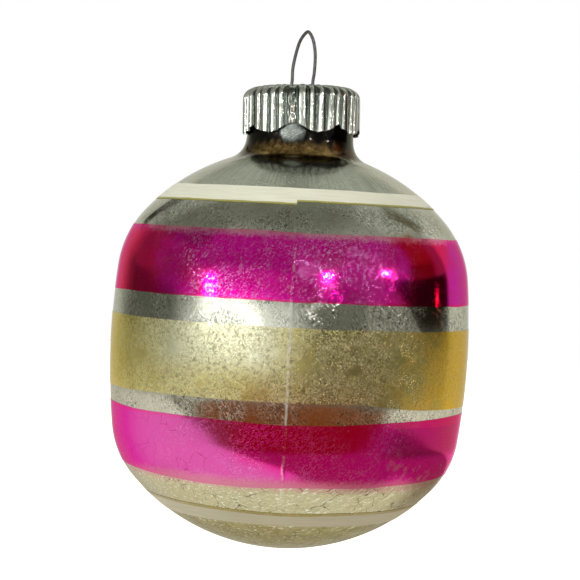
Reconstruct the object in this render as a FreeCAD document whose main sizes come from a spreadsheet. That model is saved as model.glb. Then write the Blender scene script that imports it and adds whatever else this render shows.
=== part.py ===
"""Blown-glass ball ornament: silvered ball with painted bands, fluted cap and wire hanging loop.

All lengths are in millimetres. Every sub-part is drawn with z measured up from the bottom of the ball,
and its Placement then moves it down by hang_height, so that the origin is at the inside top of the
hanging loop. +Z is up, +X runs to the right across the loop, and -Y is the front.
"""
import FreeCAD, Part
import Sketcher
import math
import os

DIMENSIONS = [
    # alias, value, meaning
    ("hang_height", 86.15, "bottom of the ball to the inside top of the loop"),
    ("ball_radius", 29.92, "widest radius of the bare glass"),
    ("widest_height", 34.0, "height of the widest radius"),
    ("wall_radius", 115.0, "radius of the slightly bowed side wall"),
    ("bottom_radius", 34.0, "radius of the bottom dome, centred on the axis"),
    ("lower_corner", 15.0, "radius blending the bottom dome into the wall"),
    ("top_radius", 33.6, "radius of the top dome"),
    ("top_centre", 33.3, "height of the top dome's centre"),
    ("upper_corner", 17.0, "radius blending the wall into the top dome"),
    ("neck_radius", 9.05, "outside radius of the neck"),
    ("neck_fillet", 3.6, "hollow radius where the neck meets the dome"),
    ("rim_height", 76.1, "height of the neck's rim, under the cap"),
    ("glass_wall", 0.5, "thickness of the glass"),
    ("coat", 0.08, "thickness given to each coating"),
    ("coated_height", 64.4, "highest the coatings reach on the dome"),
    ("upper_white_bottom", 57.2, "upper cream stripe"),
    ("upper_white_top", 59.9, "upper cream stripe"),
    ("upper_magenta_bottom", 42.0, "upper magenta band"),
    ("upper_magenta_top", 52.9, "upper magenta band"),
    ("gold_bottom", 25.8, "gold band"),
    ("gold_top", 38.1, "gold band"),
    ("lower_magenta_bottom", 12.9, "lower magenta band"),
    ("lower_magenta_top", 23.15, "lower magenta band"),
    ("ochre_bottom", 8.0, "thin ochre line"),
    ("ochre_top", 8.35, "thin ochre line"),
    ("lower_white_bottom", 6.1, "lower cream stripe"),
    ("lower_white_top", 8.0, "lower cream stripe"),
    ("cap_top", 77.1, "height of the cap's flat top"),
    ("cap_bottom", 68.8, "height of the tips of the cap's scallops"),
    ("cap_radius", 9.6, "outside radius of the cap's wall between the flutes"),
    ("cap_sheet", 0.3, "thickness of the cap's sheet metal"),
    ("cap_edge", 1.6, "outside radius of the cap's rounded top edge"),
    ("flute_count", 36, "flutes round the cap"),
    ("flute_height", 0.43, "radius of one flute's rounded crest"),
    ("flute_seat", 9.45, "radius at which each flute is rooted in the wall"),
    ("scallop_count", 8, "scallops round the cap's lower edge"),
    ("scallop_depth", 1.5, "height of the notches between the scallops"),
    ("scallop_turn", -7.5, "angle of the front notch, in degrees round the axis"),
    ("wire_hole_radius", 0.8, "radius of the cap's two holes for the wire"),
    ("left_hole", -1.6, "x position of the left hole"),
    ("right_hole", 1.7, "x position of the right hole"),
    ("wire_radius", 0.28, "radius of the hanger wire"),
]
DIM = {alias: value for alias, value, meaning in DIMENSIONS}

# Centreline of the hand-bent wire as (x, z), from the end of one sprung leg over the loop to the other.
# The ends point straight down inside the ball.
WIRE_BENDS = [
    (-11.0, 57.5), (-11.0, 59.5), (-9.8, 63.4), (-7.6, 67.6), (-4.8, 71.6), (-2.5, 74.4),
    (-1.85, 77.3), (-1.83, 80.4), (-1.35, 83.4), (-0.65, 85.35), (0.37, 86.85), (1.28, 85.3),
    (1.86, 83.2), (1.9, 80.6), (1.6, 77.3),
    (2.4, 74.4), (4.7, 71.6), (7.5, 67.6), (9.7, 63.4), (10.9, 59.5), (10.9, 57.5),
]

# Share of the shorter run next to a bend that its arc takes up.
BEND_SHARE = 0.45

# Sketcher's codes for an edge's start, end and centre points, and for the origin and vertical axis.
START, END, CENTRE = 1, 2, 3
ORIGIN, VERTICAL_AXIS = -1, -2

doc = FreeCAD.newDocument("BallOrnament")
sheet = doc.addObject("Spreadsheet::Sheet", "Dims")
for row, (alias, value, meaning) in enumerate(DIMENSIONS, start=1):
    sheet.set("A%d" % row, alias)
    sheet.set("B%d" % row, str(value))
    sheet.set("C%d" % row, meaning)
    sheet.setAlias("B%d" % row, alias)
doc.recompute()


# ---------------------------------------------------------------- helpers

def new_body(name):
    """An empty PartDesign body, lowered so that the origin is at the inside top of the loop."""
    body = doc.addObject("PartDesign::Body", name)
    body.Label = name
    lower_to_frame(body)
    return body


def lower_to_frame(obj):
    """Move a finished sub-part from the ball's base frame into the loop's frame."""
    obj.Placement = FreeCAD.Placement(FreeCAD.Vector(0, 0, -DIM["hang_height"]), FreeCAD.Rotation())
    obj.setExpression(".Placement.Base.z", "-Dims.hang_height")


def new_sketch(body, name, plane):
    """A sketch on one of the body's base planes."""
    sketch = body.newObject("Sketcher::SketchObject", name)
    base = [feature for feature in body.Origin.OriginFeatures if feature.Role == plane][0]
    sketch.AttachmentSupport = [(base, "")]
    sketch.MapMode = "FlatFace"
    return sketch


def raise_sketch(sketch, height_text):
    """Lift a sketch off the XY plane to a height given as an expression."""
    sketch.setExpression(".AttachmentOffset.Base.z", height_text)


def dimension(sketch, kind, edge, point, value, text):
    """Constrain a point's distance from the origin, or an edge's radius, by an expression."""
    if kind == "Radius":
        index = sketch.addConstraint(Sketcher.Constraint(kind, edge, value))
    else:
        index = sketch.addConstraint(Sketcher.Constraint(kind, ORIGIN, START, edge, point, value))
    sketch.setExpression("Constraints[%d]" % index, text)


def add_line(sketch, start, end):
    """A straight edge between two (x, y) points."""
    line = Part.LineSegment(FreeCAD.Vector(start[0], start[1], 0), FreeCAD.Vector(end[0], end[1], 0))
    return sketch.addGeometry(line, False)


def add_arc(sketch, centre, radius, first, last):
    """An arc that runs anticlockwise between two (x, y) points near its circle."""
    angles = [math.atan2(point[1] - centre[1], point[0] - centre[0]) for point in (first, last)]
    circle = Part.Circle(FreeCAD.Vector(centre[0], centre[1], 0), FreeCAD.Vector(0, 0, 1), radius)
    return sketch.addGeometry(Part.ArcOfCircle(circle, angles[0], angles[1]), False)


def join(sketch, kind, edge_a, point_a, edge_b, point_b):
    """Make two edges meet end to end, as "Coincident" or "Tangent"."""
    sketch.addConstraint(Sketcher.Constraint(kind, edge_a, point_a, edge_b, point_b))


def revolve(body, sketch):
    """Turn a sketch on the XZ plane all the way round the vertical axis."""
    turn = body.newObject("PartDesign::Revolution", sketch.Name + "_turned")
    turn.Profile = sketch
    turn.ReferenceAxis = (sketch, ["V_Axis"])
    turn.Angle = 360
    sketch.Visibility = False
    return turn


def repeat_round(body, feature, count_alias):
    """Copy a feature evenly round the vertical axis."""
    pattern = body.newObject("PartDesign::PolarPattern", feature.Name + "_round")
    pattern.Originals = [feature]
    pattern.Axis = (feature.Profile[0], ["N_Axis"])
    pattern.Angle = 360
    pattern.Occurrences = int(DIM[count_alias])
    pattern.setExpression("Occurrences", "Dims." + count_alias)
    body.Tip = pattern
    return pattern


# ---------------------------------------------------------------- the ball's half profile

def towards(start, target, distance):
    """The point a given distance from start on the way to target."""
    share = distance / math.hypot(target[0] - start[0], target[1] - start[1])
    return (start[0] + (target[0] - start[0]) * share, start[1] + (target[1] - start[1]) * share)


def meeting_point(centre_a, radius_a, centre_b, radius_b, choose):
    """The lower or upper crossing of two circles, chosen with min or max."""
    gap = math.hypot(centre_b[0] - centre_a[0], centre_b[1] - centre_a[1])
    along = (radius_a ** 2 - radius_b ** 2 + gap ** 2) / (2 * gap)
    across = math.sqrt(radius_a ** 2 - along ** 2)
    unit = ((centre_b[0] - centre_a[0]) / gap, (centre_b[1] - centre_a[1]) / gap)
    crossings = [
        (centre_a[0] + along * unit[0] - side * across * unit[1],
         centre_a[1] + along * unit[1] + side * across * unit[0])
        for side in (1, -1)
    ]
    return choose(crossings, key=lambda point: point[1])


BOTTOM_CENTRE = (0.0, DIM["bottom_radius"])
WALL_CENTRE = (DIM["ball_radius"] - DIM["wall_radius"], DIM["widest_height"])
TOP_CENTRE = (0.0, DIM["top_centre"])
LOWER_CORNER_CENTRE = meeting_point(BOTTOM_CENTRE, DIM["bottom_radius"] - DIM["lower_corner"],
                                    WALL_CENTRE, DIM["wall_radius"] - DIM["lower_corner"], min)
UPPER_CORNER_CENTRE = meeting_point(TOP_CENTRE, DIM["top_radius"] - DIM["upper_corner"],
                                    WALL_CENTRE, DIM["wall_radius"] - DIM["upper_corner"], max)
FILLET_X = DIM["neck_radius"] + DIM["neck_fillet"]
FILLET_REACH = DIM["top_radius"] + DIM["neck_fillet"]
FILLET_CENTRE = (FILLET_X, DIM["top_centre"] + math.sqrt(FILLET_REACH ** 2 - FILLET_X ** 2))


def draw_skin(sketch, offset, offset_text, with_neck):
    """Draw the ball's half profile, moved outwards by offset, and return its first and last edges.

    It runs from the bottom pole through the bottom dome, lower corner, side wall, upper corner and top
    dome. With the neck it goes on through the hollow fillet and up the neck to the rim.
    """
    bottom_r = DIM["bottom_radius"] + offset
    top_r = DIM["top_radius"] + offset
    wall_r = DIM["wall_radius"] + offset
    pole = (0.0, -offset)
    dome_to_corner = towards(BOTTOM_CENTRE, LOWER_CORNER_CENTRE, bottom_r)
    corner_to_wall = towards(WALL_CENTRE, LOWER_CORNER_CENTRE, wall_r)
    wall_to_corner = towards(WALL_CENTRE, UPPER_CORNER_CENTRE, wall_r)
    corner_to_dome = towards(TOP_CENTRE, UPPER_CORNER_CENTRE, top_r)
    if with_neck:
        dome_end = towards(TOP_CENTRE, FILLET_CENTRE, top_r)
    else:
        rise = DIM["coated_height"] - DIM["top_centre"]
        dome_end = (math.sqrt(top_r ** 2 - rise ** 2), DIM["coated_height"])

    bottom = add_arc(sketch, BOTTOM_CENTRE, bottom_r, pole, dome_to_corner)
    lower = add_arc(sketch, LOWER_CORNER_CENTRE, DIM["lower_corner"] + offset,
                    dome_to_corner, corner_to_wall)
    wall = add_arc(sketch, WALL_CENTRE, wall_r, corner_to_wall, wall_to_corner)
    upper = add_arc(sketch, UPPER_CORNER_CENTRE, DIM["upper_corner"] + offset,
                    wall_to_corner, corner_to_dome)
    top = add_arc(sketch, TOP_CENTRE, top_r, corner_to_dome, dome_end)
    for edge_a, edge_b in ((bottom, lower), (lower, wall), (wall, upper), (upper, top)):
        join(sketch, "Tangent", edge_a, END, edge_b, START)

    for edge, point in ((bottom, START), (bottom, CENTRE), (top, CENTRE)):
        sketch.addConstraint(Sketcher.Constraint("PointOnObject", edge, point, VERTICAL_AXIS))
    dimension(sketch, "DistanceY", bottom, CENTRE, BOTTOM_CENTRE[1], "Dims.bottom_radius")
    dimension(sketch, "DistanceY", top, CENTRE, TOP_CENTRE[1], "Dims.top_centre")
    dimension(sketch, "DistanceY", wall, CENTRE, WALL_CENTRE[1], "Dims.widest_height")
    dimension(sketch, "DistanceX", wall, CENTRE, WALL_CENTRE[0], "Dims.ball_radius - Dims.wall_radius")
    for edge, alias in ((bottom, "bottom_radius"), (lower, "lower_corner"), (wall, "wall_radius"),
                        (upper, "upper_corner"), (top, "top_radius")):
        dimension(sketch, "Radius", edge, None, DIM[alias] + offset, "Dims." + alias + offset_text)
    if not with_neck:
        dimension(sketch, "DistanceY", top, END, DIM["coated_height"], "Dims.coated_height")
        return bottom, top

    neck_r = DIM["neck_radius"] + offset
    fillet = add_arc(sketch, FILLET_CENTRE, DIM["neck_fillet"] - offset,
                     (neck_r, FILLET_CENTRE[1] + 1e-9), dome_end)
    neck = add_line(sketch, (neck_r, FILLET_CENTRE[1]), (neck_r, DIM["rim_height"]))
    join(sketch, "Tangent", top, END, fillet, END)
    join(sketch, "Tangent", fillet, START, neck, START)
    sketch.addConstraint(Sketcher.Constraint("Vertical", neck))
    dimension(sketch, "Radius", fillet, None, DIM["neck_fillet"] - offset,
              "Dims.neck_fillet - (0" + offset_text + ")")
    dimension(sketch, "DistanceX", neck, START, neck_r, "Dims.neck_radius" + offset_text)
    dimension(sketch, "DistanceY", neck, END, DIM["rim_height"], "Dims.rim_height")
    return bottom, neck


def ball_shell(name, outer, outer_text, inner, inner_text, with_neck=False):
    """A closed skin of the ball between two offsets from the bare glass's outside."""
    body = new_body(name)
    sketch = new_sketch(body, name + "_section", "XZ_Plane")
    outer_first, outer_last = draw_skin(sketch, outer, outer_text, with_neck)
    inner_first, inner_last = draw_skin(sketch, inner, inner_text, with_neck)
    for outer_edge, inner_edge, point in ((outer_first, inner_first, START), (outer_last, inner_last, END)):
        ends = []
        for edge in (outer_edge, inner_edge):
            corner = sketch.getPoint(edge, point)
            ends.append((corner.x, corner.y))
        closing = add_line(sketch, ends[0], ends[1])
        join(sketch, "Coincident", closing, START, outer_edge, point)
        join(sketch, "Coincident", closing, END, inner_edge, point)
    revolve(body, sketch)
    return body


# ---------------------------------------------------------------- glass and coatings

def glass_envelope():
    """The blown ball and its open neck, one piece of thin glass."""
    return ball_shell("glass_envelope", 0.0, "", -DIM["glass_wall"], " - Dims.glass_wall", with_neck=True)


def silver_lining():
    """The silvering on the inside of the glass, from the bottom pole up to the shoulder."""
    return ball_shell("silver_lining", -DIM["glass_wall"], " - Dims.glass_wall",
                      -DIM["glass_wall"] - DIM["coat"], " - Dims.glass_wall - Dims.coat")


def painted_band(coat, name, alias):
    """The part of the outside coat between two heights, cut out by a wide flat slab."""
    slab = doc.addObject("Part::Cylinder", name + "_slab")
    slab.Radius = 40
    slab.Height = DIM[alias + "_top"] - DIM[alias + "_bottom"]
    slab.setExpression("Height", "Dims.%s_top - Dims.%s_bottom" % (alias, alias))
    slab.setExpression(".Placement.Base.z", "Dims.%s_bottom - Dims.hang_height" % alias)
    band = doc.addObject("Part::MultiCommon", name)
    band.Label = name
    band.Shapes = [coat, slab]
    return band


# ---------------------------------------------------------------- cap

def cap_section(body):
    """The smooth cup under the flutes: flat top, rounded edge and straight skirt."""
    outer = DIM["cap_radius"]
    inner = outer - DIM["cap_sheet"]
    top = DIM["cap_top"]
    under = top - DIM["cap_sheet"]
    edge = DIM["cap_edge"]
    edge_x = outer - edge
    edge_z = top - edge
    sketch = new_sketch(body, "cap_section", "XZ_Plane")
    outer_arc = add_arc(sketch, (edge_x, edge_z), edge, (outer, edge_z), (edge_x, top))
    inner_arc = add_arc(sketch, (edge_x, edge_z), edge - DIM["cap_sheet"], (inner, edge_z), (edge_x, under))
    outer_wall = add_line(sketch, (outer, DIM["cap_bottom"]), (outer, edge_z))
    inner_wall = add_line(sketch, (inner, DIM["cap_bottom"]), (inner, edge_z))
    outer_top = add_line(sketch, (edge_x, top), (0, top))
    inner_top = add_line(sketch, (edge_x, under), (0, under))
    hem = add_line(sketch, (outer, DIM["cap_bottom"]), (inner, DIM["cap_bottom"]))
    axis = add_line(sketch, (0, top), (0, under))
    for arc, wall, flat in ((outer_arc, outer_wall, outer_top), (inner_arc, inner_wall, inner_top)):
        join(sketch, "Tangent", wall, END, arc, START)
        join(sketch, "Tangent", arc, END, flat, START)
        sketch.addConstraint(Sketcher.Constraint("Vertical", wall))
        sketch.addConstraint(Sketcher.Constraint("Horizontal", flat))
    join(sketch, "Coincident", hem, START, outer_wall, START)
    join(sketch, "Coincident", hem, END, inner_wall, START)
    join(sketch, "Coincident", axis, START, outer_top, END)
    join(sketch, "Coincident", axis, END, inner_top, END)
    sketch.addConstraint(Sketcher.Constraint("PointOnObject", axis, START, VERTICAL_AXIS))
    sketch.addConstraint(Sketcher.Constraint("PointOnObject", axis, END, VERTICAL_AXIS))
    sketch.addConstraint(Sketcher.Constraint("Horizontal", hem))
    dimension(sketch, "Radius", outer_arc, None, edge, "Dims.cap_edge")
    dimension(sketch, "Radius", inner_arc, None, edge - DIM["cap_sheet"], "Dims.cap_edge - Dims.cap_sheet")
    dimension(sketch, "DistanceX", outer_wall, START, outer, "Dims.cap_radius")
    dimension(sketch, "DistanceX", inner_wall, START, inner, "Dims.cap_radius - Dims.cap_sheet")
    dimension(sketch, "DistanceY", outer_wall, START, DIM["cap_bottom"], "Dims.cap_bottom")
    dimension(sketch, "DistanceY", outer_top, END, top, "Dims.cap_top")
    dimension(sketch, "DistanceY", inner_top, END, under, "Dims.cap_top - Dims.cap_sheet")
    return revolve(body, sketch)


def cap_flute(body):
    """One rounded flute up the side of the cap, rooted in its wall."""
    sketch = new_sketch(body, "flute_section", "XY_Plane")
    raise_sketch(sketch, "Dims.cap_bottom")
    seat = DIM["flute_seat"]
    size = DIM["flute_height"]
    crest = add_arc(sketch, (seat, 0), size, (seat, -size), (seat, size))
    root = add_line(sketch, (seat, size), (seat, -size))
    join(sketch, "Coincident", crest, END, root, START)
    join(sketch, "Coincident", root, END, crest, START)
    sketch.addConstraint(Sketcher.Constraint("Vertical", root))
    sketch.addConstraint(Sketcher.Constraint("PointOnObject", crest, CENTRE, root))
    sketch.addConstraint(Sketcher.Constraint("PointOnObject", crest, CENTRE, ORIGIN))
    dimension(sketch, "Radius", crest, None, size, "Dims.flute_height")
    dimension(sketch, "DistanceX", crest, CENTRE, seat, "Dims.flute_seat")
    flute = body.newObject("PartDesign::Pad", "flute")
    flute.Profile = sketch
    flute.setExpression("Length", "Dims.cap_top - Dims.cap_edge - Dims.cap_bottom")
    sketch.Visibility = False
    return flute


def cap_notch(body):
    """The front notch between two scallops: two convex lobes meeting at a point."""
    half_width = DIM["cap_radius"] * math.sin(math.pi / DIM["scallop_count"])
    depth = DIM["scallop_depth"]
    low = DIM["cap_bottom"]
    lobe_radius = (half_width ** 2 + depth ** 2) / (2 * depth)
    tip = (0, low + depth)
    sketch = new_sketch(body, "notch_outline", "XZ_Plane")
    sketch.AttachmentOffset = FreeCAD.Placement(
        FreeCAD.Vector(), FreeCAD.Rotation(FreeCAD.Vector(0, 1, 0), DIM["scallop_turn"]))
    sketch.setExpression(".AttachmentOffset.Rotation.Angle", "Dims.scallop_turn")
    left = add_arc(sketch, (-half_width, low + lobe_radius), lobe_radius, (-half_width, low), tip)
    right = add_arc(sketch, (half_width, low + lobe_radius), lobe_radius, tip, (half_width, low))
    sides = [
        add_line(sketch, (-half_width, low), (-half_width, low - 1)),
        add_line(sketch, (-half_width, low - 1), (half_width, low - 1)),
        add_line(sketch, (half_width, low - 1), (half_width, low)),
    ]
    join(sketch, "Coincident", left, END, right, START)
    join(sketch, "Coincident", sides[0], START, left, START)
    join(sketch, "Coincident", sides[0], END, sides[1], START)
    join(sketch, "Coincident", sides[1], END, sides[2], START)
    join(sketch, "Coincident", sides[2], END, right, END)
    sketch.addConstraint(Sketcher.Constraint("PointOnObject", left, END, VERTICAL_AXIS))
    for edge, kind in ((sides[0], "Vertical"), (sides[1], "Horizontal"), (sides[2], "Vertical")):
        sketch.addConstraint(Sketcher.Constraint(kind, edge))
    dimension(sketch, "DistanceY", left, END, tip[1], "Dims.cap_bottom + Dims.scallop_depth")
    dimension(sketch, "DistanceY", left, START, low, "Dims.cap_bottom")
    dimension(sketch, "DistanceY", right, END, low, "Dims.cap_bottom")
    notch = body.newObject("PartDesign::Pocket", "notch")
    notch.Profile = sketch
    notch.Length = 12
    notch.Reversed = True
    sketch.Visibility = False
    return notch


def cap_wire_holes(body):
    """The two round holes in the cap's top that the wire's legs pass through."""
    sketch = new_sketch(body, "wire_holes", "XY_Plane")
    raise_sketch(sketch, "Dims.cap_top")
    for alias in ("left_hole", "right_hole"):
        centre = FreeCAD.Vector(DIM[alias], 0, 0)
        ring = Part.Circle(centre, FreeCAD.Vector(0, 0, 1), DIM["wire_hole_radius"])
        edge = sketch.addGeometry(ring, False)
        sketch.addConstraint(Sketcher.Constraint("PointOnObject", edge, CENTRE, ORIGIN))
        dimension(sketch, "DistanceX", edge, CENTRE, DIM[alias], "Dims." + alias)
        dimension(sketch, "Radius", edge, None, DIM["wire_hole_radius"], "Dims.wire_hole_radius")
    holes = body.newObject("PartDesign::Pocket", "wire_holes_cut")
    holes.Profile = sketch
    holes.Length = 2
    sketch.Visibility = False
    return holes


def ornament_cap():
    """The fluted sheet-metal cap that slips over the neck."""
    body = new_body("ornament_cap")
    cap_section(body)
    repeat_round(body, cap_flute(body), "flute_count")
    repeat_round(body, cap_notch(body), "scallop_count")
    body.Tip = cap_wire_holes(body)
    return body


# ---------------------------------------------------------------- hanger

def draw_wire_path(sketch):
    """Draw the wire's centreline as straight runs joined by tangent arcs, one arc for each inner bend."""
    last_end = WIRE_BENDS[0]
    edges = []
    for before, bend, after in zip(WIRE_BENDS, WIRE_BENDS[1:], WIRE_BENDS[2:]):
        run = min(math.dist(before, bend), math.dist(bend, after))
        heading_in = math.atan2(bend[1] - before[1], bend[0] - before[0])
        heading_out = math.atan2(after[1] - bend[1], after[0] - bend[0])
        turn = math.remainder(heading_out - heading_in, 2 * math.pi)
        setback = BEND_SHARE * run
        radius = setback / math.tan(abs(turn) / 2)
        arc_start = towards(bend, before, setback)
        arc_end = towards(bend, after, setback)
        side = math.copysign(1, turn)
        centre = (arc_start[0] - side * radius * math.sin(heading_in),
                  arc_start[1] + side * radius * math.cos(heading_in))
        edges.append((add_line(sketch, last_end, arc_start), START, END))
        if turn > 0:
            edges.append((add_arc(sketch, centre, radius, arc_start, arc_end), START, END))
        else:
            edges.append((add_arc(sketch, centre, radius, arc_end, arc_start), END, START))
        last_end = arc_end
    edges.append((add_line(sketch, last_end, WIRE_BENDS[-1]), START, END))
    for (edge_a, first_a, last_a), (edge_b, first_b, last_b) in zip(edges, edges[1:]):
        join(sketch, "Coincident", edge_a, last_a, edge_b, first_b)


def hanger_wire():
    """The bent wire: a pointed loop above the cap and two legs that spring apart in the neck."""
    body = new_body("hanger_wire")
    path = new_sketch(body, "wire_path", "XZ_Plane")
    draw_wire_path(path)
    section = new_sketch(body, "wire_section", "XY_Plane")
    start_x, start_z = WIRE_BENDS[0]
    section.AttachmentOffset = FreeCAD.Placement(FreeCAD.Vector(0, 0, start_z), FreeCAD.Rotation())
    ring = Part.Circle(FreeCAD.Vector(start_x, 0, 0), FreeCAD.Vector(0, 0, 1), DIM["wire_radius"])
    edge = section.addGeometry(ring, False)
    dimension(section, "Radius", edge, None, DIM["wire_radius"], "Dims.wire_radius")
    sweep = body.newObject("PartDesign::AdditivePipe", "wire_sweep")
    sweep.Profile = section
    sweep.Spine = (path, [])
    path.Visibility = False
    section.Visibility = False
    return body


# ---------------------------------------------------------------- assembly and export

def build():
    """Make every sub-part and return them in order."""
    coat = ball_shell("lacquer_coat", DIM["coat"], " + Dims.coat", 0.0, "")
    parts = [glass_envelope(), silver_lining()]
    for name, alias in (
            ("upper_white_stripe", "upper_white"),
            ("upper_magenta_band", "upper_magenta"),
            ("gold_band", "gold"),
            ("lower_magenta_band", "lower_magenta"),
            ("ochre_line", "ochre"),
            ("lower_white_stripe", "lower_white")):
        parts.append(painted_band(coat, name, alias))
    parts.append(ornament_cap())
    parts.append(hanger_wire())
    doc.recompute()
    return parts


def check(parts):
    """Stop if any feature failed or any sub-part isn't a sound solid."""
    for obj in doc.Objects:
        if "Invalid" in obj.State or "Error" in obj.State:
            raise RuntimeError("%s did not build: %s" % (obj.Name, obj.State))
    for part in parts:
        if part.Shape.isNull() or not part.Shape.isValid() or not part.Shape.Solids:
            raise RuntimeError("%s has no valid solid" % part.Name)


def export(parts):
    """Write one STEP file for each sub-part."""
    os.makedirs("parts", exist_ok=True)
    for part in parts:
        part.Shape.exportStep("parts/%s.step" % part.Label)
        box = part.Shape.BoundBox
        print("%-20s volume %9.2f  x %.2f..%.2f  z %.2f..%.2f" % (
            part.Label, part.Shape.Volume, box.XMin, box.XMax, box.ZMin, box.ZMax))


ornament = build()
check(ornament)
export(ornament)
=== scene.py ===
"""Looks for the glass ball ornament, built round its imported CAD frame."""

import math

import bmesh
import bpy
import numpy as np
from mathutils import Matrix, Vector, noise
from mathutils.geometry import delaunay_2d_cdt


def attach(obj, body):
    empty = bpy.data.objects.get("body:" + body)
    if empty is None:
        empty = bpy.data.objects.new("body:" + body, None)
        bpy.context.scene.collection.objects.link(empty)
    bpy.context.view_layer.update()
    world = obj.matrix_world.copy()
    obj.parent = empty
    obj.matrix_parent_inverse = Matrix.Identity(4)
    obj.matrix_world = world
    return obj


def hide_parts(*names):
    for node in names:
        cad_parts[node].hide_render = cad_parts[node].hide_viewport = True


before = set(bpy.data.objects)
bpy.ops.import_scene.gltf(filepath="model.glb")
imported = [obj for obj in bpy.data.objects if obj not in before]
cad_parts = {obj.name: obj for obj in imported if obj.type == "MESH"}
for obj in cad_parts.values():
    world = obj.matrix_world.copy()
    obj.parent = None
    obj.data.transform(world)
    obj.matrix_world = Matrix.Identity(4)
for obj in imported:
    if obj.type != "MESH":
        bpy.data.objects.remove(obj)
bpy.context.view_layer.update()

MM = 0.001
HANG = 86.15            # mm from the bottom of the ball up to the inside top of the loop
FRONT = -math.pi / 2    # angle round the axis that faces the viewer
BALL_REACH = 30         # mm from the axis to the wall, for patterns that run round the ball


# ---- mesh helpers

def to_frame(x, y, z):
    """A point in mm, with z measured up from the bottom of the ball, as metres in the row frame."""
    return (x * MM, y * MM, (z - HANG) * MM)


def link_object(name, data):
    """A new object in the scene that shows the given data."""
    thing = bpy.data.objects.new(name, data)
    bpy.context.scene.collection.objects.link(thing)
    return thing


def mesh_object(name, vertices, faces, sharp_degrees=50):
    """A smooth-shaded object from points in mm and faces, with sharp edges kept."""
    mesh = bpy.data.meshes.new(name)
    mesh.from_pydata([to_frame(*vertex) for vertex in vertices], [], faces)
    tidy = bmesh.new()
    tidy.from_mesh(mesh)
    bmesh.ops.remove_doubles(tidy, verts=tidy.verts, dist=1e-7)
    bmesh.ops.recalc_face_normals(tidy, faces=tidy.faces)
    tidy.to_mesh(mesh)
    tidy.free()
    mesh.shade_smooth()
    mesh.set_sharp_from_angle(angle=math.radians(sharp_degrees))
    return link_object(name, mesh)


def grid_faces(row_count, column_count, closed_rows, first=0):
    """Quads over rows of points that each run all the way round the axis."""
    faces = []
    for row in range(row_count if closed_rows else row_count - 1):
        above = (row + 1) % row_count
        for column in range(column_count):
            beside = (column + 1) % column_count
            faces.append((first + row * column_count + column, first + row * column_count + beside,
                          first + above * column_count + beside, first + above * column_count + column))
    return faces


def ripple(angle, height, size, seed):
    """Smooth noise from -1 to 1 that has no join as it goes round the axis."""
    x, y = BALL_REACH * math.cos(angle), BALL_REACH * math.sin(angle)
    return noise.noise(Vector((x / size, y / size, height / size + seed)))


# ---- the ball's half profile

def crossing(centre_a, radius_a, centre_b, radius_b, choose):
    """The lower or upper crossing of two circles, chosen with min or max."""
    gap = math.dist(centre_a, centre_b)
    along = (radius_a ** 2 - radius_b ** 2 + gap ** 2) / (2 * gap)
    across = math.sqrt(radius_a ** 2 - along ** 2)
    unit = ((centre_b[0] - centre_a[0]) / gap, (centre_b[1] - centre_a[1]) / gap)
    points = [(centre_a[0] + along * unit[0] - side * across * unit[1],
               centre_a[1] + along * unit[1] + side * across * unit[0]) for side in (1, -1)]
    return choose(points, key=lambda point: point[1])


def heading(centre, point):
    """The angle of a point seen from a circle's centre."""
    return math.atan2(point[1] - centre[1], point[0] - centre[0])


def ball_profile(step=0.45):
    """Points up the bare glass as rows of radius, height, outward radius part and outward height part."""
    bottom, bottom_r = (0.0, 34.0), 34.0
    wall, wall_r = (29.92 - 115.0, 34.0), 115.0
    top, top_r = (0.0, 33.3), 33.6
    lower_r, upper_r = 15.0, 17.0
    lower = crossing(bottom, bottom_r - lower_r, wall, wall_r - lower_r, min)
    upper = crossing(top, top_r - upper_r, wall, wall_r - upper_r, max)
    fillet_r, neck_r, rim = 3.6, 9.05, 76.1
    fillet_x = neck_r + fillet_r
    fillet = (fillet_x, top[1] + math.sqrt((top_r + fillet_r) ** 2 - fillet_x ** 2))
    arcs = [
        (bottom, bottom_r, -math.pi / 2, heading(bottom, lower), 1),
        (lower, lower_r, heading(bottom, lower), heading(wall, lower), 1),
        (wall, wall_r, heading(wall, lower), heading(wall, upper), 1),
        (upper, upper_r, heading(wall, upper), heading(top, upper), 1),
        (top, top_r, heading(top, upper), heading(top, fillet), 1),
        (fillet, fillet_r, heading(fillet, top), -math.pi, -1),
    ]
    rows = []
    for centre, radius, begin, end, bulge in arcs:
        count = max(2, int(abs(end - begin) * radius / step))
        for number in range(count):
            angle = begin + (end - begin) * number / count
            rows.append((centre[0] + radius * math.cos(angle), centre[1] + radius * math.sin(angle),
                         bulge * math.cos(angle), bulge * math.sin(angle)))
    neck_count = int((rim - fillet[1]) / (2 * step))
    for number in range(neck_count + 1):
        rows.append((neck_r, fillet[1] + (rim - fillet[1]) * number / neck_count, 1.0, 0.0))
    return np.array(rows)


PROFILE = ball_profile()
COLUMN_GAP = 1.5        # degrees from one column of points to the next
SEAM_SPREAD = 2.4       # degrees each side of a mould seam that get closer columns
SEAM_COLUMNS = 17
SEAM_RISE = 0.035       # how far a mould seam stands up
SEAM_WIDTH = 0.5        # degrees from its middle to where it has mostly gone


def column_angles():
    """Angles round the ball, closer together at the front and back mould seams."""
    angles = []
    for base in np.arange(-180, 180, COLUMN_GAP):
        if min(abs(base + 90), abs(base - 90)) > SEAM_SPREAD + 0.5:
            angles.append(math.radians(base))
    for seam in (-90, 90):
        offsets = np.linspace(-SEAM_SPREAD, SEAM_SPREAD, SEAM_COLUMNS)
        angles += [math.radians(seam + offset) for offset in offsets]
    return sorted(angles)


ANGLES = column_angles()


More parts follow.
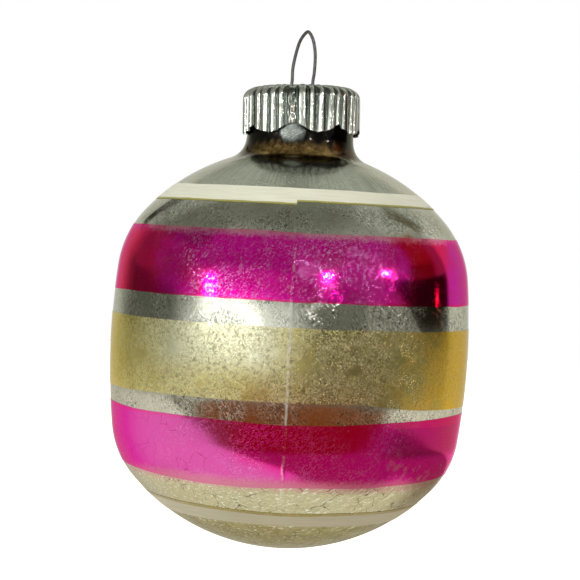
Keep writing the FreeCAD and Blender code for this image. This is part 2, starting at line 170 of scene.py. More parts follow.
def relief(angle, height):
    """How far the real surface stands off the plain profile: faint waves and two mould seams."""
    wave = 0.012 * ripple(angle, height, 11, 3.0) + 0.002 * ripple(angle, height, 4, 9.0)
    off_seam = min(abs(math.degrees(angle) + 90), abs(math.degrees(angle) - 90))
    drift = 0.25 * ripple(0.0, height, 7, 21.0)
    ridge = SEAM_RISE * math.exp(-((off_seam + drift) / SEAM_WIDTH) ** 2)
    fade = min(max((height - 6) / 6, 0), max((60 - height) / 4, 0), 1)
    return wave - 0.02 + ridge * fade * (0.7 + 0.3 * ripple(angle, height, 3, 5.0))


def skin_point(angle, height, offset):
    """A point on the ball's surface at a height up the wall or dome, moved outwards by offset."""
    radius, out, up = (np.interp(height, PROFILE[:, 1], PROFILE[:, column]) for column in (0, 2, 3))
    length = math.hypot(out, up)
    total = offset + relief(angle, height)
    reach = radius + total * out / length
    return (reach * math.cos(angle), reach * math.sin(angle), height + total * up / length)


def neck_taper(height):
    """How much narrower the hand-drawn neck gets under the cap, towards its rim."""
    return float(np.interp(height, (67.6, 68.9, 76.1), (0.0, 0.06, 0.18)))


# ---- ball and coatings

GLASS_SINK = -0.07      # how far the shown glass lies inside the CAD surface, so its relief stays in the box
GLASS_WALL = 0.4
RIM_BEAD = 0.15         # height of the fire-polished rim's rounding
PAINT_LIFT = 0.045      # height of each painted band over the shown glass
PAINT_SKIN = 0.035      # thickness of each painted band
PAINT_STEP = 0.4        # rise from one row of a band's points to the next


def make_glass():
    """The blown ball with its neck: an outer skin, a fire-polished rim and an inner skin."""
    rim_radius, rim_height = PROFILE[-1][:2]
    rim_radius += GLASS_SINK - neck_taper(rim_height)
    rings = []
    for radius, height, out, up in PROFILE:
        calm = min(1.0, radius / 4)
        ring = []
        for angle in ANGLES:
            offset = GLASS_SINK + relief(angle, height) * calm - neck_taper(height)
            ring.append((max(radius + offset * out, 0.0), height + offset * up))
        rings.append(ring)
    for degrees in (45, 90, 135):
        bead = math.radians(degrees)
        reach = rim_radius - GLASS_WALL / 2 + GLASS_WALL / 2 * math.cos(bead)
        rings.append([(reach, rim_height - RIM_BEAD + RIM_BEAD * math.sin(bead))] * len(ANGLES))
    for radius, height, out, up in PROFILE[::-3]:
        offset = GLASS_SINK - GLASS_WALL - neck_taper(height)
        spot = (max(radius + offset * out, 0.0), min(height + offset * up, rim_height - RIM_BEAD))
        rings.append([spot] * len(ANGLES))
    points = [(reach * math.cos(angle), reach * math.sin(angle), height)
              for ring in rings for angle, (reach, height) in zip(ANGLES, ring)]
    return mesh_object("glass_ball", points, grid_faces(len(rings), len(ANGLES), False))


def edge_height(edge, angle):
    """Height of a band's edge: a plain number, or (sideways share, height) pairs from left to right."""
    if isinstance(edge, list):
        sides, heights = zip(*edge)
        return float(np.interp(math.cos(angle), sides, heights))
    return edge


def make_band(name, bottom, top, wobble=0.12, jog=0.0, seed=0.0):
    """A painted band with slightly uneven edges, as a thin closed skin on the glass."""
    lift = GLASS_SINK + PAINT_LIFT
    row_count = max(4, int((edge_height(top, 0.0) - edge_height(bottom, 0.0)) / PAINT_STEP))
    skins = []
    for offset in (lift, lift - PAINT_SKIN):
        skin = []
        for row in range(row_count + 1):
            share = row / row_count
            line = []
            for angle in ANGLES:
                low, high = (
                    edge_height(edge, angle)
                    + wobble * (ripple(angle, level, 9, seed) + 0.3 * ripple(angle, level, 2, seed))
                    for edge, level in ((bottom, 0.0), (top, 50.0))
                )
                low += jog if 0 < angle - FRONT < math.pi else 0.0
                line.append(skin_point(angle, low + (high - low) * share, offset))
            skin.append(line)
        skins.append(skin)
    rows = skins[0] + skins[1][::-1]
    points = [point for row in rows for point in row]
    return mesh_object(name, points, grid_faces(len(rows), len(ANGLES), True))


# ---- cap

CAP_TOP, CAP_LOW = 76.85, 68.85
CAP_BEND, CAP_SHOULDER = 3.0, 1.70     # how far the rounded top edge reaches inwards and down
CAP_SHEET = 0.15
CAP_CROWN = 0.20        # rise of the slightly domed top
FLUTE_ROOT, FLUTE_RISE, FLUTE_MEAN = 9.31, 0.50, 9.55
FLUTES = 36
FLUTE_STEPS = 16
WALL_ROWS, BEND_ROWS = 22, 16
CROWN_RING = 5.4        # radius of the one row of points between the rounded edge and the plate
PLATE_RADIUS = 4.0
HOLES, HOLE_RADIUS, HOLE_SIDES = (-1.45, 1.85), 0.79, 32
SCALLOP_DEPTH = 1.35
NOTCHES = [-57.0, -7.5, 39.0, 83.0, 127.0, 171.0, 215.0, 259.0]     # degrees from the front
ROUND_NOTCH = -7.5
DENT = -10.0            # degrees from the front to the crumpled place
CAP_LEAN, CAP_TIP = 2.2, 2.4           # degrees the cap leans left and tips back
CAP_PIVOT = 72.5        # height that it leans and tips about


def turn_from(angle, degrees):
    """Signed degrees from a place given in degrees from the front."""
    return math.remainder(math.degrees(angle - FRONT) - degrees, 360)


def flute_radius(angle, height):
    """Radius of the fluted wall: flat crests of uneven width and height, crumpled at the dent."""
    crease = math.exp(-(turn_from(angle, DENT) / 6.5) ** 2)
    warp = 2.0 * ripple(angle, 0.0, 6, 40.0) + 1.6 * crease * ripple(angle, height, 1.6, 47.0)
    wave = 0.5 + 0.5 * math.cos(FLUTES * angle + warp)
    rise = FLUTE_RISE + 0.06 * ripple(angle, 0.0, 3, 44.0)
    rise *= 1 - crease * (0.45 + 0.5 * ripple(angle, height, 1.2, 70.0))
    crest = min(max((wave - 0.04) / 0.66, 0.0), 1.0)
    return FLUTE_ROOT + rise * (0.7 * crest * crest * (3 - 2 * crest) + 0.3 * wave)


def hem_height(angle):
    """Height of the cap's lower edge: convex scallops that meet in notches, one of them rounded."""
    gaps = sorted((abs(turn_from(angle, notch)), notch) for notch in NOTCHES)
    share = gaps[0][0] / (gaps[0][0] + gaps[1][0])
    lobe = (1 - 2 * share) ** 2
    if gaps[0][1] == ROUND_NOTCH:
        lobe = math.cos(math.pi * share) ** 2
    depth = SCALLOP_DEPTH + 0.25 * ripple(angle, 0.0, 14, 61.0)
    return CAP_LOW + 0.1 + depth * lobe + 0.08 * ripple(angle, 0.0, 2, 63.0)


def cap_wall_point(angle, share, depth):
    """A point of the cap's sheet: share goes from 0 at the hem to 1 at the shoulder and 2 on top."""
    hem = hem_height(angle)
    shoulder = CAP_TOP - CAP_SHOULDER
    if share <= 1:
        height = hem + (shoulder - hem) * share
        wobble = 0.03 * ripple(angle, height, 5, 75.0)
        return (flute_radius(angle, height) - depth + wobble - 0.02, height)
    bend = (share - 1) * math.pi / 2
    fade = 1.0 - min(bend / math.radians(84), 1) ** 4
    wobble = 0.03 * ripple(angle, shoulder, 5, 75.0) * math.cos(bend)
    flute = (flute_radius(angle, shoulder) - FLUTE_MEAN + wobble - 0.02) * fade
    out, up = math.cos(bend) / CAP_BEND, math.sin(bend) / CAP_SHOULDER
    length = math.hypot(out, up)
    return (FLUTE_MEAN - CAP_BEND + CAP_BEND * math.cos(bend) + (flute - depth) * out / length,
            shoulder + CAP_SHOULDER * math.sin(bend) + (flute - depth) * up / length)


def crown_height(radius):
    """Height of the cap's gently domed top."""
    return CAP_TOP + CAP_CROWN * (1 - (radius / (FLUTE_MEAN - CAP_BEND)) ** 2)


def lean_cap(point):
    """Tip a point of the cap to the left and its front up, the way the real cap sits on its neck."""
    x, y, rise = point[0], point[1], point[2] - CAP_PIVOT
    lean, tip = math.radians(CAP_LEAN), math.radians(CAP_TIP)
    x, rise = x * math.cos(lean) - rise * math.sin(lean), rise * math.cos(lean) + x * math.sin(lean)
    y, rise = y * math.cos(tip) + rise * math.sin(tip), rise * math.cos(tip) - y * math.sin(tip)
    return x, y, CAP_PIVOT + rise


def make_cap():
    """The fluted cap as one thin pressed sheet with two wire holes through its top."""
    column_count = FLUTES * FLUTE_STEPS
    angles = [2 * math.pi * column / column_count for column in range(column_count)]
    shares = [row / WALL_ROWS for row in range(WALL_ROWS)]
    shares += [1 + row / BEND_ROWS for row in range(BEND_ROWS + 1)]
    points = []
    row_count = 0
    for depth, order in ((0.0, shares), (CAP_SHEET, shares[::-1])):
        section = [[cap_wall_point(angle, share, depth) for angle in angles] for share in order]
        crown = [[(radius, crown_height(radius) - depth)] * column_count
                 for radius in (CROWN_RING, PLATE_RADIUS)]
        section = section + crown if depth == 0 else crown[::-1] + section
        for row in section:
            points += [(radius * math.cos(angle), radius * math.sin(angle), height)
                       for angle, (radius, height) in zip(angles, row)]
        row_count += len(section)
    plate_row = row_count // 2 - 1
    faces = [face for face in grid_faces(row_count, column_count, True)
             if face[0] // column_count != plate_row]
    plate_points, plate_faces = make_plate(angles, len(points))
    leaning = [lean_cap(point) for point in points + plate_points]
    return mesh_object("fluted_cap", leaning, faces + plate_faces, sharp_degrees=60)


def make_plate(angles, first):
    """The middle of the cap's top as two sheets with two round holes and the holes' walls."""
    height = crown_height(PLATE_RADIUS)
    outline = [(PLATE_RADIUS * math.cos(angle), PLATE_RADIUS * math.sin(angle)) for angle in angles]
    holes = []
    for centre_x in HOLES:
        turns = [2 * math.pi * side / HOLE_SIDES for side in range(HOLE_SIDES)]
        holes.append([(centre_x + HOLE_RADIUS * math.cos(turn), HOLE_RADIUS * math.sin(turn))
                      for turn in turns])
    flat = [Vector(spot) for spot in outline + holes[0] + holes[1]]
    edges = []
    begin = 0
    for loop in (outline, holes[0], holes[1]):
        edges += [(begin + number, begin + (number + 1) % len(loop)) for number in range(len(loop))]
        begin += len(loop)
    spots, _, triangles, _, _, _ = delaunay_2d_cdt(flat, edges, [], 0, 1e-5)
    kept = []
    for triangle in triangles:
        middle = sum((spots[corner] for corner in triangle), Vector((0, 0))) / 3
        if all((middle - Vector((centre_x, 0))).length > HOLE_RADIUS * 0.98 for centre_x in HOLES):
            kept.append(tuple(triangle))
    count = len(spots)
    points = [(spot.x, spot.y, height) for spot in spots]
    points += [(spot.x, spot.y, height - CAP_SHEET) for spot in spots]
    faces = [tuple(first + corner for corner in triangle) for triangle in kept]
    faces += [tuple(first + count + corner for corner in reversed(triangle)) for triangle in kept]
    begin = len(outline)
    for loop in holes:
        for number in range(len(loop)):
            here = first + begin + number
            beside = first + begin + (number + 1) % len(loop)
            faces.append((here, beside, beside + count, here + count))
        begin += len(loop)
    return points, faces


# ---- wire

WIRE_BENDS = [
    (-11.0, 57.55), (-10.85, 59.6), (-9.7, 63.4), (-7.5, 67.6), (-4.75, 71.6), (-2.45, 74.6),
    (-1.86, 77.6), (-1.82, 80.0), (-1.54, 82.0), (-1.08, 84.05), (-0.7, 85.05), (-0.2, 85.85),
    (0.37, 86.37), (0.86, 85.95), (1.3, 85.1), (1.6, 84.0), (1.8, 82.6), (1.84, 81.2),
    (1.78, 79.4), (1.66, 77.6), (2.35, 74.6), (4.65, 71.6), (7.4, 67.6), (9.6, 63.4),
    (10.75, 59.6), (10.9, 57.55),
]
WIRE_RADIUS = 0.268


def smooth_route(bends, steps=10):
    """Points along a smooth curve through every bend."""
    spots = [Vector((x, 0, z)) for x, z in bends]
    spots = [2 * spots[0] - spots[1]] + spots + [2 * spots[-1] - spots[-2]]
    route = []
    for a, b, c, d in zip(spots, spots[1:], spots[2:], spots[3:]):
        for step in range(steps):
            t = step / steps
            route.append(0.5 * (2 * b + (c - a) * t + (2 * a - 5 * b + 4 * c - d) * t ** 2
                                + (3 * b - a - 3 * c + d) * t ** 3))
    route.append(spots[-2])
    return route


def make_wire():
    """The hanger as a round drawn wire with faint draw marks and rounded cut ends."""
    route = smooth_route(WIRE_BENDS)
    sides = 20
    points = []
    across = Vector((0, 1, 0))
    count = len(route)
    for number, spot in enumerate(route):
        ahead = (route[min(number + 1, count - 1)] - route[max(number - 1, 0)]).normalized()
        outward = ahead.cross(across)
        radius = WIRE_RADIUS * (0.6 if number in (0, count - 1) else 1.0)
        for side in range(sides):
            angle = 2 * math.pi * side / sides
            bumpy = radius * (1 + 0.015 * noise.noise(Vector((side * 1.7, number * 0.06, 3.0))))
            spin = across * math.cos(angle) + outward * math.sin(angle)
            points.append(tuple(spot + spin * bumpy))
    faces = grid_faces(count, sides, False)
    faces.append(tuple(range(sides)))
    faces.append(tuple((count - 1) * sides + side for side in reversed(range(sides))))
    return mesh_object("hanging_wire", points, faces)


# ---- material helpers

class Nodes:
    """Shorthand for wiring one node tree, where each value is a constant or another node's socket."""

    def __init__(self, tree):
        self.nodes = tree.nodes
        self.links = tree.links
        self.nodes.clear()

    def feed(self, socket, value):
        """Link a socket's value, or set it when it is a constant."""
        if isinstance(value, bpy.types.NodeSocket):
            self.links.new(value, socket)
        elif isinstance(value, tuple) and socket.type == "RGBA":
            socket.default_value = value + (1.0,)
        else:
            socket.default_value = value

    def split(self, vector):
        node = self.nodes.new("ShaderNodeSeparateXYZ")
        self.feed(node.inputs[0], vector)
        return node.outputs

    def math(self, operation, first, second=None):
        node = self.nodes.new("ShaderNodeMath")
        node.operation = operation
        self.feed(node.inputs[0], first)
        if second is not None:
            self.feed(node.inputs[1], second)
        return node.outputs[0]

    def times(self, first, second):
        return self.math("MULTIPLY", first, second)

    def plus(self, first, second):
        return self.math("ADD", first, second)

    def minus(self, first, second):
        return self.math("SUBTRACT", first, second)

    def either(self, first, second):
        return self.math("MAXIMUM", first, second)

    def step(self, value, low, high, bottom=0.0, top=1.0):
        """A smooth change from bottom to top as value goes from low to high."""
        node = self.nodes.new("ShaderNodeMapRange")
        node.interpolation_type = "SMOOTHSTEP"
        self.feed(node.inputs["Value"], value)
        for socket, number in (("From Min", low), ("From Max", high), ("To Min", bottom), ("To Max", top)):
            node.inputs[socket].default_value = number
        return node.outputs[0]

    def mix(self, share, first, second):
        """Colour first where share is 0 and second where it is 1."""
        node = self.nodes.new("ShaderNodeMix")
        node.data_type = "RGBA"
        for number, value in ((0, share), (6, first), (7, second)):
            self.feed(node.inputs[number], value)
        return node.outputs[2]

    def lay(self, colour, share, paint, strength):
        """A colour with paint laid over it, as strong as strength where share is 1."""
        return self.mix(self.times(share, strength), colour, paint)


class Recipe(Nodes):
    """Builds one procedural material. Its place is in mm, with z measured up from the ball's bottom."""

    def __init__(self, name, **constants):
        self.material = bpy.data.materials.new(name)
        self.material.use_nodes = True
        super().__init__(self.material.node_tree)
        output = self.nodes.new("ShaderNodeOutputMaterial")
        self.shader = self.nodes.new("ShaderNodeBsdfPrincipled")
        self.links.new(self.shader.outputs["BSDF"], output.inputs["Surface"])
        for socket, value in constants.items():
            self.shader.inputs[socket.replace("_", " ")].default_value = value
        here = self.nodes.new("ShaderNodeTexCoord").outputs["Object"]
        self.place = self.vector("ADD", self.vector("SCALE", here, 1 / MM), (0, 0, HANG))
        self.x, self.y, self.z = self.split(self.place)
        flat = self.vector("MULTIPLY", self.place, (1, 1, 0))
        rim = self.vector("SCALE", self.vector("NORMALIZE", flat), BALL_REACH)
        self.around = self.vector("ADD", rim, self.vector("MULTIPLY", self.place, (0, 0, 1)))

    def vector(self, operation, first, second=None):
        node = self.nodes.new("ShaderNodeVectorMath")
        node.operation = operation
        self.feed(node.inputs[0], first)
        if operation == "SCALE":
            self.feed(node.inputs["Scale"], second)
        elif second is not None:
            self.feed(node.inputs[1], second)
        return node.outputs[0]

    def texture(self, kind, spot, scale=1.0, **numbers):
        """A texture node read at a spot, with its other sockets set to numbers."""
        node = self.nodes.new("ShaderNodeTex" + kind)
        node.inputs["Scale"].default_value = scale
        for socket, number in numbers.items():
            node.inputs[socket].default_value = number
        self.feed(node.inputs["Vector"], spot)
        return node

    def noise(self, size, detail=3.0, rough=0.5, seed=0.0, stretch=(1, 1, 1), around=False, warp=0.0):
        """Noise from 0 to 1 with features about size mm across, drawn out by stretch."""
        source = self.around if around else self.place
        spread = tuple(1 / (size * part) for part in stretch)
        spot = self.vector("ADD", self.vector("MULTIPLY", source, spread), (seed, seed * 0.7, -seed))
        return self.texture("Noise", spot, Detail=detail, Roughness=rough, Distortion=warp).outputs["Fac"]

    def strokes(self, size, length, tilt, low, high, seed=0.0, warp=0.0):
        """Short marks about size mm wide, drawn out along a line tilted by degrees from the vertical."""
        lean = math.radians(tilt)
        along = self.plus(self.times(self.x, math.sin(lean)), self.times(self.z, math.cos(lean)))
        across = self.plus(self.times(self.x, math.cos(lean)), self.times(self.z, -math.sin(lean)))
        joined = self.nodes.new("ShaderNodeCombineXYZ")
        for socket, part, width in zip(joined.inputs, (across, self.y, along), (size, size, length)):
            self.feed(socket, self.times(part, 1 / width))
        spot = self.vector("ADD", joined.outputs[0], (seed, -seed, seed))
        return self.step(self.texture("Noise", spot, Detail=2.0, Distortion=warp).outputs["Fac"], low, high)

    def cracks(self, size, width, seed=0.0, warp=0.6):
        """A web of thin lines, 1 on a line and 0 between lines, with cells about size mm across."""
        spot = self.vector("SCALE", self.place, 1 / size)
        wander = self.texture("Noise", self.vector("ADD", spot, (seed, seed, seed)), scale=1.5, Detail=3.0)
        bent = self.vector("ADD", spot, self.vector("SCALE", wander.outputs["Color"], warp))
        web = self.texture("Voronoi", bent)
        web.feature = "DISTANCE_TO_EDGE"
        return self.step(web.outputs["Distance"], 0.0, width, 1.0, 0.0)

    def blot(self, x, z, half_width, half_height, ragged, seed):
        """1 inside a ragged oval on the front of the ball, 0 outside it."""
        across = self.times(self.plus(self.x, -x), 1 / half_width)
        up = self.times(self.plus(self.z, -z), 1 / half_height)
        away = self.plus(self.times(across, across), self.times(up, up))
        away = self.plus(away, self.step(self.noise(1.2, 4, 0.6, seed=seed), 0.25, 0.75, -ragged, ragged))
        return self.times(self.step(away, 1.9, 0.0), self.step(self.y, 0, -1))

    def near(self, value, centre, half_width, soft):
        """1 where value is within half_width of centre, fading to 0 over soft outside that."""
        away = self.math("ABSOLUTE", self.plus(value, -centre))
        return self.step(away, half_width + soft, half_width)

    def seam(self, half_width, low=0.0, high=0.01):
        """1 on the front and back mould seams, broken into dashes where a noise is under low to high."""
        drift = self.step(self.noise(7, 2, seed=31), 0.0, 1.0, -0.35, 0.35)
        line = self.near(self.plus(self.x, drift), 0.0, half_width * 0.3, half_width * 0.7)
        tall = self.times(self.step(self.z, 8, 14), self.step(self.z, 56, 50))
        dashes = self.step(self.noise(1.5, 4, 0.7, seed=37), low, high)
        return self.times(self.times(line, tall), dashes)

    def finish(self, colour, rough, relief, depth):
        """The finished material, with a relief that is depth mm high where relief is 1."""
        self.feed(self.shader.inputs["Base Color"], colour)
        self.feed(self.shader.inputs["Roughness"], rough)
        bump = self.nodes.new("ShaderNodeBump")
        bump.inputs["Strength"].default_value = 1.0
        bump.inputs["Distance"].default_value = depth * MM
        self.feed(bump.inputs["Height"], relief)
        self.links.new(bump.outputs["Normal"], self.shader.inputs["Normal"])
        return self.material


# ---- materials

def silver_skin(look, grain):
    """The clear silvered parts: a marked mirror above, a cream stain low down and a satin shoulder."""
    cloud = look.noise(9, 4, 0.6, seed=2)
    streaks = look.noise(0.7, 3, 0.6, seed=11, stretch=(1, 1, 9), around=True)
    low = look.step(look.z, 20, 12)
    shoulder = look.step(look.z, 56.8, 59.0)
    mirror = look.times(look.step(look.z, 58, 56), look.step(look.z, 12, 20))
    patchy = look.step(look.noise(5, 3, 0.6, seed=15), 0.38, 0.60, 0.25, 1.0)
    dark_marks = look.times(look.strokes(0.28, 0.7, 35, 0.51, 0.57, seed=8, warp=1.8), patchy)
    pale_marks = look.times(look.strokes(0.26, 0.7, -40, 0.54, 0.60, seed=12, warp=1.6), patchy)

    colour = look.mix(look.step(cloud, 0.3, 0.7), (0.50, 0.51, 0.43), (0.68, 0.69, 0.60))
    colour = look.mix(look.times(dark_marks, look.times(mirror, 0.85)), colour, (0.05, 0.05, 0.035))
    colour = look.lay(colour, pale_marks, (0.98, 0.98, 0.92), 0.75)
    colour = look.mix(look.times(look.step(streaks, 0.40, 0.70), look.times(shoulder, 0.55)),
                      colour, (0.78, 0.81, 0.73))
    cream = look.mix(look.step(grain, 0.3, 0.7), (0.70, 0.66, 0.50), (0.56, 0.52, 0.36))
    colour = look.mix(low, colour, cream)
    fringe = look.step(look.plus(look.z, look.step(look.noise(0.9, 4, 0.7, seed=24), 0.2, 0.8, -0.6, 0.6)),
                       12.2, 13.2)
    colour = look.lay(colour, look.times(fringe, low), (0.72, 0.30, 0.40), 0.6)
    base = look.mix(look.step(look.noise(2.5, 4, 0.65, seed=16), 0.35, 0.65),
                    (0.36, 0.31, 0.13), (0.50, 0.45, 0.23))
    colour = look.mix(look.step(look.z, 7.0, 5.6), colour, base)
    web = look.times(look.either(look.cracks(4.6, 0.022, 4), look.cracks(2.3, 0.018, 9)), low)
    web = look.times(web, look.step(look.noise(4, 2, seed=14), 0.45, 0.6))
    colour = look.lay(colour, web, (0.10, 0.07, 0.03), 0.85)
    glints = look.times(look.strokes(0.35, 1.8, 60, 0.58, 0.66, seed=18, warp=0.8), low)
    colour = look.lay(colour, glints, (1.0, 0.99, 0.94), 0.8)
    seam = look.seam(0.30, 0.30, 0.42)
    colour = look.mix(look.times(seam, look.step(look.z, 45, 40, 0.3, 0.6)), colour, (0.98, 0.98, 0.92))

    rough = look.step(grain, 0.2, 0.9, 0.03, 0.08)
    rough = look.plus(rough, look.times(shoulder, 0.10))
    rough = look.plus(rough, look.times(low, 0.18))
    rough = look.plus(rough, look.times(look.either(web, seam), 0.3))
    marks = look.minus(pale_marks, dark_marks)
    raised = look.plus(look.times(marks, 0.5), look.times(look.either(web, glints), 0.8))
    return colour, rough, raised


def neck_stain(look, grain, colour):
    """The unsilvered neck: streaky amber with painted side shade, painted black shade under the cap, and a
    pale patch of worn silver and painted reflection.
    """
    edge = look.plus(look.step(look.noise(3.0, 3, 0.5, seed=17, around=True), 0.2, 0.8, -0.5, 0.5),
                     look.step(look.noise(0.6, 3, 0.7, seed=20), 0.2, 0.8, -0.15, 0.15))
    height = look.plus(look.z, edge)
    amber = look.step(height, 64.3, 65.4)
    dark = look.step(height, 66.0, 68.1)
    stain = look.noise(1.0, 4, 0.65, seed=19, stretch=(3, 3, 0.7), around=True)
    brown = look.mix(look.step(stain, 0.36, 0.66), (0.22, 0.115, 0.030), (0.56, 0.38, 0.14))
    specks = look.step(look.noise(0.35, 3, 0.7, seed=25), 0.56, 0.66)
    brown = look.lay(brown, specks, (0.80, 0.64, 0.34), 0.4)
    # Painted shade: the amber darkens towards both sides of the neck.
    brown = look.mix(look.near(look.x, -0.5, 4.5, 3.5), (0.05, 0.02, 0.006), brown)
    colour = look.mix(amber, colour, brown)
    # Painted shade: black under the cap stands in for the dark inside of the ball seen through the bare
    # glass.
    colour = look.mix(dark, colour, (0.004, 0.003, 0.003))
    brush = look.strokes(0.16, 2.2, 62, 0.30, 0.70, seed=27, warp=0.6)
    # Painted reflection of the window as a pale patch, partly worn silver left on the glass.
    patch = look.blot(-1.3, 69.0, 1.7, 1.4, 0.45, 21)
    patch = look.times(patch, look.step(look.plus(look.z, look.times(look.x, -0.35)), 66.3, 69.9))
    wear_and_painted_reflection = look.mix(look.times(brush, look.step(grain, 0.2, 0.7)), (0.34, 0.42, 0.40), (0.95, 1.0, 0.98))
    colour = look.mix(patch, colour, wear_and_painted_reflection)
    return colour, dark, patch


def silvered_glass():
    """Clear glass over aged silvering: mirror bands, satin shoulder and a stained, unsilvered neck with
    painted shade and one painted reflection.
    """
    look = Recipe("silvered_glass", Coat_Weight=0.3, Coat_Roughness=0.03, Coat_IOR=1.45,
                  Specular_Tint=(0.62, 0.63, 0.56, 1.0))
    grain = look.noise(0.45, 3, 0.7, seed=5)
    colour, rough, raised = silver_skin(look, grain)
    colour, dark, patch = neck_stain(look, grain, colour)
    look.feed(look.shader.inputs["Metallic"], look.step(look.minus(dark, patch), 0.0, 1.0, 1.0, 0.9))
    rough = look.plus(rough, look.times(patch, 0.3))
    return look.finish(colour, rough, look.plus(look.times(grain, 0.3), raised), 0.005)


def lacquer_tone(look, seed):
    """The upper band: purple-pink in the middle, darker crimson to both sides as painted shade of the
    grazing sides, and purple at the right end.
    """
    cloud = look.noise(9, 3, 0.55, seed=seed)
    # Painted shade: the colour deepens to crimson towards both sides.
    sides = look.plus(look.math("ABSOLUTE", look.x), look.step(cloud, 0.3, 0.7, -4, 4))
    colour = look.mix(look.step(sides, 14, 23), (0.90, 0.0, 0.45), (0.78, 0.0, 0.11))
    colour = look.mix(look.step(look.x, 23.5, 26), colour, (0.60, 0.0, 0.46))
    return look.mix(look.step(look.noise(4, 3, 0.5, seed=seed + 2), 0.35, 0.7, 0.0, 0.45),
                    colour, (0.58, 0.0, 0.14))


def faded_tone(look, seed):
    """The lower band: faded pink on the left, full magenta elsewhere and deeper at the upper right."""
    cloud = look.noise(9, 3, 0.55, seed=seed)
    colour = look.mix(look.step(look.x, 6, 16), (0.86, 0.0, 0.34), (0.86, 0.0, 0.42))
    deep = look.times(look.step(look.x, 13, 19), look.step(look.z, 17.5, 19))
    colour = look.mix(deep, colour, (0.42, 0.0, 0.14))
    reach = look.plus(look.x, look.step(look.z, 19, 15, 0, -8))
    left = look.step(look.plus(reach, look.step(cloud, 0.3, 0.7, -3, 3)), -2, -11)
    return look.mix(left, colour, (0.72, 0.095, 0.46))


def lacquer(name, bottom, top, seed, faded=False):
    """Clear magenta lacquer over silvering, flecked with flakes and painted sparkle, scratched and rubbed;
    faded paints the lower band.
    """
    look = Recipe(name, Metallic=1.0, Coat_Weight=0.22, Coat_Roughness=0.03, Coat_IOR=1.45,
                  Specular_Tint=(0.80, 0.05, 0.45, 1.0))
    grain = look.noise(0.45, 3, 0.7, seed=seed + 5)
    colour = faded_tone(look, seed) if faded else lacquer_tone(look, seed)
    rim = look.step(look.z, top - 0.5, top - 0.2)
    if not faded:
        rim = look.either(rim, look.step(look.z, bottom + 0.45, bottom + 0.15))
    colour = look.lay(colour, rim, (0.80, 0.04, 0.12), 0.25 if faded else 0.6)

    # The lighter flecks are partly flakes in the lacquer and partly painted sparkle, fewer towards the
    # sides.
    dense = look.step(look.noise(7, 3, 0.6, seed=seed + 4), 0.36, 0.60, 0.2, 1.0)
    dense = look.times(dense, look.times(look.step(look.x, -24, -15), look.step(look.x, 24, 12)))
    flecks = look.times(look.strokes(0.24, 0.6, 40, 0.55, 0.61, seed=seed + 7, warp=1.6), dense)
    scratches = look.times(look.strokes(0.10, 6.0, 42, 0.69, 0.74, seed=seed + 9), 0.7)
    specks = look.step(look.noise(0.5, 4, 0.8, seed=seed + 11), 0.70, 0.75)
    pits = look.step(look.noise(0.7, 3, 0.7, seed=seed + 13), 0.27, 0.23)
    colour = look.lay(colour, flecks, (1.0, 0.50, 0.92), 0.30 if faded else 0.8)
    colour = look.lay(colour, look.either(scratches, specks), (0.98, 0.62, 0.80), 0.6)
    colour = look.lay(colour, pits, (0.10, 0.0, 0.02), 0.85)
    seam = look.seam(0.32, 0.46, 0.58)
    colour = look.lay(colour, seam, (1.0, 0.62, 0.80), 0.45)
    fuzz = look.step(look.noise(0.5, 3, 0.6, seed=seed + 17), 0.2, 0.8, -0.5, 0.5)
    ragged = look.plus(look.z, fuzz)
    if faded:
        veins = look.times(look.cracks(3.8, 0.016, 7), look.step(look.x, -4, -10))
        veins = look.times(veins, look.step(look.noise(4, 2, seed=seed + 21), 0.42, 0.52))
        colour = look.lay(colour, veins, (0.30, 0.0, 0.08), 0.6)
        wear_and_painted_reflection = look.times(look.step(look.noise(1.4, 4, 0.7, seed=seed + 15), 0.50, 0.64),
                          look.times(look.step(look.x, 12, 22), look.step(look.z, 20, 16)))
        wear_and_painted_reflection = look.either(wear_and_painted_reflection, look.step(ragged, bottom + 1.9, bottom + 0.1))
        worn_colour = (0.74, 0.30, 0.40)
    else:
        wear_and_painted_reflection = look.times(look.step(ragged, top - 1.3, top - 0.2),
                          look.step(look.noise(3, 3, 0.6, seed=seed + 19), 0.34, 0.56, 0.45, 1.0))
        worn_colour = (0.92, 0.48, 0.60)
    colour = look.lay(colour, wear_and_painted_reflection, worn_colour, 0.7)
    flaws = look.either(look.either(specks, scratches), wear_and_painted_reflection)
    rough = look.plus(look.step(grain, 0.2, 0.9, 0.08, 0.17), look.times(flaws, 0.2))
    marks = look.minus(flecks, look.times(pits, 0.8))
    return look.finish(colour, rough, look.plus(look.times(grain, 0.4), marks), 0.005)


